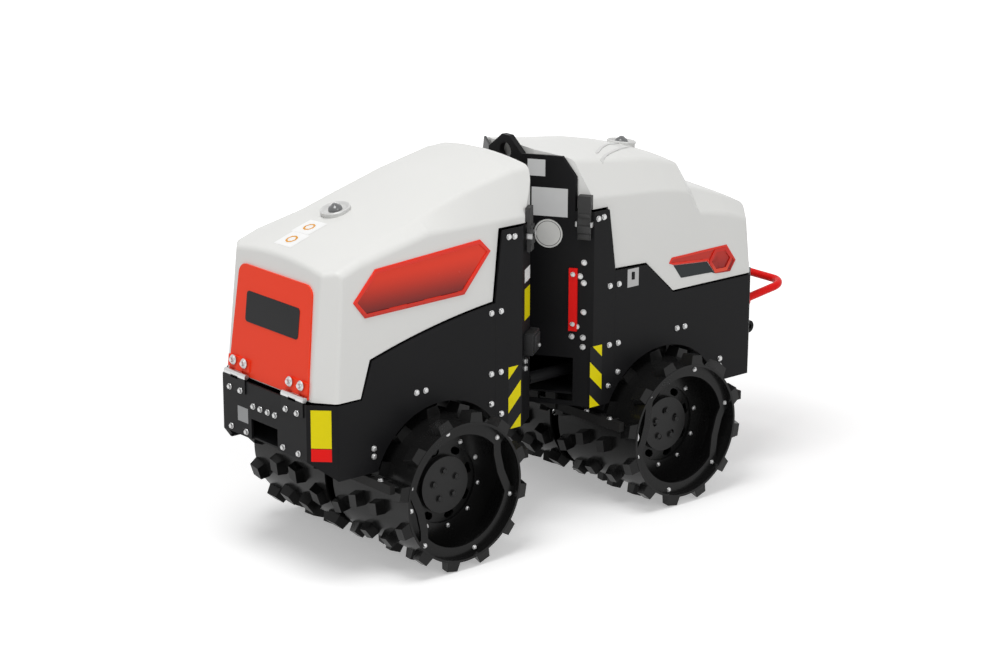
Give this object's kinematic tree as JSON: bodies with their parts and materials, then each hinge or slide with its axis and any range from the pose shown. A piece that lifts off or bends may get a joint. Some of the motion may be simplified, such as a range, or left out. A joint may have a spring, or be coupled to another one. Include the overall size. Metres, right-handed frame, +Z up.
{
  "type": "articulated trench roller",
  "caption": "Articulated trench roller: two tubs with tilting hoods joined at a steering pivot, on padded drums, with a lifting eye and a rear bar.",
  "frame": {"origin": "on the ground under the middle of the machine's box", "axes": "+X forward along the machine, +Y to the left, +Z up"},
  "size_m": [2.14, 0.82, 1.2721],
  "materials": {
    "frame_black": "satin charcoal-black paint",
    "hood_white": "smooth off-white moulded plastic",
    "signal_red": "orange-red moulded plastic",
    "red_steel": "bright red paint",
    "drum_steel": "satin near-black paint on cast and rolled steel",
    "zinc": "bright zinc-plated steel",
    "rubber": "black moulded rubber",
    "grey_plastic": "grey moulded plastic",
    "chrome_rod": "hard chrome",
    "inner_block": "dark paint"
  },
  "bodies": {
    "rear_module": {"rear_bulkhead": "frame_black", "lifting_lug": "frame_black", "rear_side_left": "frame_black", "rear_side_right": "frame_black", "rear_end_plate": "frame_black", "rear_belly": "frame_black", "rear_carrier": "frame_black", "rear_scraper_outer": "frame_black", "rear_scraper_inner": "frame_black", "rear_hinge_leaves": "zinc", "engine": "inner_block", "steering_yoke": "frame_black", "barrel_seat": "frame_black", "handle_bar": "red_steel", "lashing_eyes": "frame_black", "lock_bar": "red_steel"},
    "front_module": {"front_bulkhead": "frame_black", "front_side_left": "frame_black", "front_side_right": "frame_black", "front_end_plate": "frame_black", "front_belly": "frame_black", "front_carrier": "frame_black", "front_scraper_outer": "frame_black", "front_scraper_inner": "frame_black", "front_hinge_leaves": "zinc", "hydraulic_tank": "inner_block", "steering_lug": "frame_black", "rod_clevis": "frame_black"},
    "front_hood": {"front_hood": "hood_white", "front_panel": "signal_red", "front_hood_hinges": "zinc", "front_latches": "rubber", "front_receiver": "grey_plastic"},
    "rear_hood": {"rear_hood": "hood_white", "rear_panel": "signal_red", "rear_hood_hinges": "zinc", "rear_latches": "rubber", "rear_receiver": "grey_plastic"},
    "steering_barrel": {"steering_barrel": "frame_black"},
    "steering_rod": {"steering_rod": "chrome_rod"},
    "front_left_drum": {"front_drum_left": "drum_steel", "front_drum_ring_left": "drum_steel", "front_hub_left": "drum_steel"},
    "front_right_drum": {"front_drum_right": "drum_steel", "front_drum_ring_right": "drum_steel", "front_hub_right": "drum_steel"},
    "rear_left_drum": {"rear_drum_left": "drum_steel", "rear_drum_ring_left": "drum_steel", "rear_hub_left": "drum_steel"},
    "rear_right_drum": {"rear_drum_right": "drum_steel", "rear_drum_ring_right": "drum_steel", "rear_hub_right": "drum_steel"}
  },
  "joints": [
    {"name": "steering", "type": "hinge", "parent": "rear_module", "child": "front_module", "pos_m": [0.109, 0, 0.49], "axis": [0, 0, 1], "range_deg": [-30, 30]},
    {"name": "front_hood_tilt", "type": "hinge", "parent": "front_module", "child": "front_hood", "pos_m": [1.0615, 0, 0.613], "axis": [0, 1, 0], "range_deg": [0, 70]},
    {"name": "rear_hood_tilt", "type": "hinge", "parent": "rear_module", "child": "rear_hood", "pos_m": [-0.8435, 0, 0.722], "axis": [0, -1, 0], "range_deg": [0, 70]},
    {"name": "barrel_swing", "type": "hinge", "parent": "rear_module", "child": "steering_barrel", "pos_m": [-0.116, 0.15, 0.48], "axis": [0, 0, 1], "range_deg": [-11, 11]},
    {"name": "rod_slide", "type": "slide", "parent": "steering_barrel", "child": "steering_rod", "axis": [1, 0, 0], "range_m": [-0.078, 0.078]},
    {"name": "front_left_roll", "type": "hinge", "parent": "front_module", "child": "front_left_drum", "pos_m": [0.589, 0, 0.26], "axis": [0, 1, 0], "continuous": true},
    {"name": "front_right_roll", "type": "hinge", "parent": "front_module", "child": "front_right_drum", "pos_m": [0.589, 0, 0.26], "axis": [0, 1, 0], "continuous": true},
    {"name": "rear_left_roll", "type": "hinge", "parent": "rear_module", "child": "rear_left_drum", "pos_m": [-0.371, 0, 0.26], "axis": [0, 1, 0], "continuous": true},
    {"name": "rear_right_roll", "type": "hinge", "parent": "rear_module", "child": "rear_right_drum", "pos_m": [-0.371, 0, 0.26], "axis": [0, 1, 0], "continuous": true}
  ],
  "couplings": [
    {"joint": "barrel_swing", "follows": "steering", "ratio": 0.336},
    {"joint": "rod_slide", "follows": "steering", "m_per_rad": -0.1478}
  ]
}
